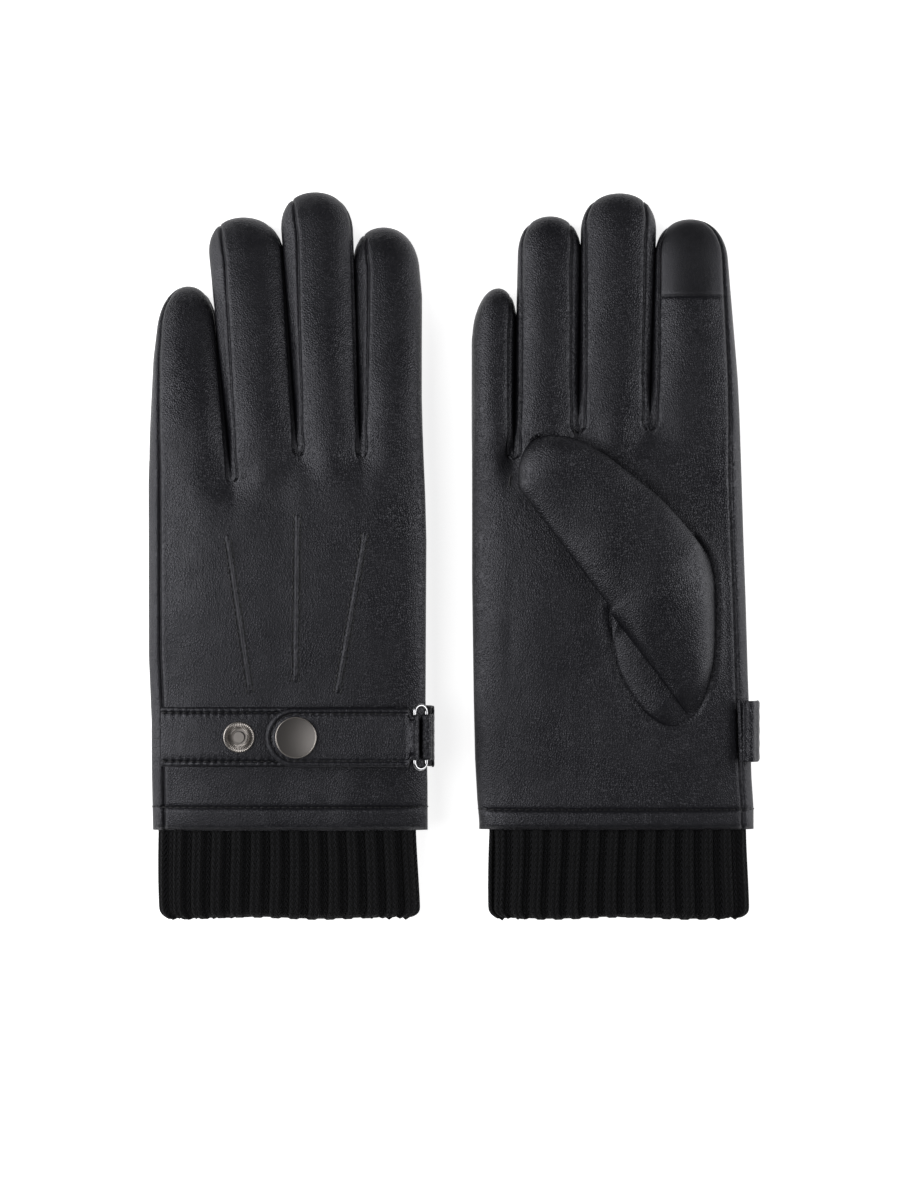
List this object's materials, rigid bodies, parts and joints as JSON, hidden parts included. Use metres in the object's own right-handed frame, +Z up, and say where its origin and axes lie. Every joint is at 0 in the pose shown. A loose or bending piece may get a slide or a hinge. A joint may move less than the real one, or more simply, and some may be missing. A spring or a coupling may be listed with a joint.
{
  "type": "leather gloves",
  "caption": "Pair of leather dress gloves with ribbed knitted cuffs and a snap strap through a wire ring; fingers curl, thumbs lift and straps open.",
  "frame": {"origin": "middle of the pair's footprint, on the surface that it lies on", "axes": "+Y from the cuffs towards the fingertips, +X from the left glove to the right one, +Z up"},
  "size_m": [0.2238, 0.2676, 0.0301],
  "materials": {
    "glove_leather": "black grained nappa, soft sheen",
    "touch_leather": "black smoother coated leather",
    "lining_fleece": "black brushed knit",
    "cuff_knit": "black ribbed wool-like knit",
    "snap_steel": "nickel plated, satin",
    "cap_gunmetal": "dark gunmetal plating with a bright rim",
    "ring_chrome": "polished wire"
  },
  "bodies": {
    "left_hand": {"left_hand_back": "glove_leather", "left_hand_palm": "glove_leather", "left_hand_lining": "lining_fleece", "left_rib_cuff": "cuff_knit", "left_strap_base": "glove_leather", "left_studs": "snap_steel", "left_ring_loop": "glove_leather"},
    "left_little_finger": {"left_little_back": "glove_leather", "left_little_front": "glove_leather", "left_little_gussets": "glove_leather", "left_little_lining": "lining_fleece"},
    "left_ring_finger": {"left_ring_back": "glove_leather", "left_ring_front": "glove_leather", "left_ring_gussets": "glove_leather", "left_ring_lining": "lining_fleece"},
    "left_middle_finger": {"left_middle_back": "glove_leather", "left_middle_front": "glove_leather", "left_middle_gussets": "glove_leather", "left_middle_lining": "lining_fleece"},
    "left_index_finger": {"left_index_back": "glove_leather", "left_index_front": "glove_leather", "left_index_gussets": "glove_leather", "left_index_lining": "lining_fleece", "left_index_touch_patch": "touch_leather"},
    "right_hand": {"right_hand_back": "glove_leather", "right_hand_palm": "glove_leather", "right_hand_lining": "lining_fleece", "right_rib_cuff": "cuff_knit", "right_strap_base": "glove_leather", "right_studs": "snap_steel", "right_ring_loop": "glove_leather"},
    "right_little_finger": {"right_little_back": "glove_leather", "right_little_front": "glove_leather", "right_little_gussets": "glove_leather", "right_little_lining": "lining_fleece"},
    "right_ring_finger": {"right_ring_back": "glove_leather", "right_ring_front": "glove_leather", "right_ring_gussets": "glove_leather", "right_ring_lining": "lining_fleece"},
    "right_middle_finger": {"right_middle_back": "glove_leather", "right_middle_front": "glove_leather", "right_middle_gussets": "glove_leather", "right_middle_lining": "lining_fleece"},
    "right_index_finger": {"right_index_back": "glove_leather", "right_index_front": "glove_leather", "right_index_gussets": "glove_leather", "right_index_lining": "lining_fleece", "right_index_touch_patch": "touch_leather"},
    "left_thumb_tip": {"left_thumb": "glove_leather", "left_thumb_lining": "lining_fleece"},
    "left_wire_ring": {"left_ring": "ring_chrome"},
    "left_loose_strap": {"left_strap": "glove_leather", "left_snap_cap": "cap_gunmetal", "left_snap_socket": "snap_steel"},
    "right_thumb_tip": {"right_thumb": "glove_leather", "right_thumb_lining": "lining_fleece"},
    "right_wire_ring": {"right_ring": "ring_chrome"},
    "right_loose_strap": {"right_strap": "glove_leather", "right_snap_cap": "cap_gunmetal", "right_snap_socket": "snap_steel"}
  },
  "joints": [
    {"name": "gloves_apart", "type": "slide", "parent": "left_hand", "child": "right_hand", "axis": [1, 0, 0], "range_m": [0, 0.15]},
    {"name": "left_little_curl", "type": "hinge", "parent": "left_hand", "child": "left_little_finger", "pos_m": [-0.09871, 0.04485, 0.0103], "axis": [-1, 0, 0], "range_deg": [0, 80]},
    {"name": "left_ring_curl", "type": "hinge", "parent": "left_hand", "child": "left_ring_finger", "pos_m": [-0.07391, 0.04485, 0.0103], "axis": [-1, 0, 0], "range_deg": [0, 80]},
    {"name": "left_middle_curl", "type": "hinge", "parent": "left_hand", "child": "left_middle_finger", "pos_m": [-0.05021, 0.04485, 0.0103], "axis": [-1, 0, 0], "range_deg": [0, 80]},
    {"name": "left_index_curl", "type": "hinge", "parent": "left_hand", "child": "left_index_finger", "pos_m": [-0.02531, 0.04485, 0.0103], "axis": [-1, 0, 0], "range_deg": [0, 80]},
    {"name": "left_thumb_lift", "type": "hinge", "parent": "left_hand", "child": "left_thumb_tip", "pos_m": [-0.04461, -0.0163, 0], "axis": [-0.7934, -0.6088, 0], "range_deg": [0, 70]},
    {"name": "left_ring_swing", "type": "hinge", "parent": "left_hand", "child": "left_wire_ring", "pos_m": [-0.01035, -0.0674, 0.0253], "axis": [0, 1, 0], "range_deg": [0, 60]},
    {"name": "left_strap_open", "type": "hinge", "parent": "left_wire_ring", "child": "left_loose_strap", "pos_m": [-0.01456, -0.0674, 0.0279], "axis": [0, 1, 0], "range_deg": [0, 100]},
    {"name": "right_little_curl", "type": "hinge", "parent": "right_hand", "child": "right_little_finger", "pos_m": [0.01769, 0.04485, 0.0198], "axis": [1, 0, 0], "range_deg": [0, 80]},
    {"name": "right_ring_curl", "type": "hinge", "parent": "right_hand", "child": "right_ring_finger", "pos_m": [0.04069, 0.04485, 0.0198], "axis": [1, 0, 0], "range_deg": [0, 80]},
    {"name": "right_middle_curl", "type": "hinge", "parent": "right_hand", "child": "right_middle_finger", "pos_m": [0.06449, 0.04485, 0.0198], "axis": [1, 0, 0], "range_deg": [0, 80]},
    {"name": "right_index_curl", "type": "hinge", "parent": "right_hand", "child": "right_index_finger", "pos_m": [0.09009, 0.04485, 0.0198], "axis": [1, 0, 0], "range_deg": [0, 80]},
    {"name": "right_thumb_lift", "type": "hinge", "parent": "right_hand", "child": "right_thumb_tip", "pos_m": [0.07379, -0.0163, 0.0301], "axis": [0.7934, 0.6088, 0], "range_deg": [0, 70]},
    {"name": "right_ring_swing", "type": "hinge", "parent": "right_hand", "child": "right_wire_ring", "pos_m": [0.10911, -0.0674, 0.0048], "axis": [0, -1, 0], "range_deg": [0, 60]},
    {"name": "right_strap_open", "type": "hinge", "parent": "right_wire_ring", "child": "right_loose_strap", "pos_m": [0.10491, -0.0674, 0.0022], "axis": [0, -1, 0], "range_deg": [0, 100]}
  ]
}
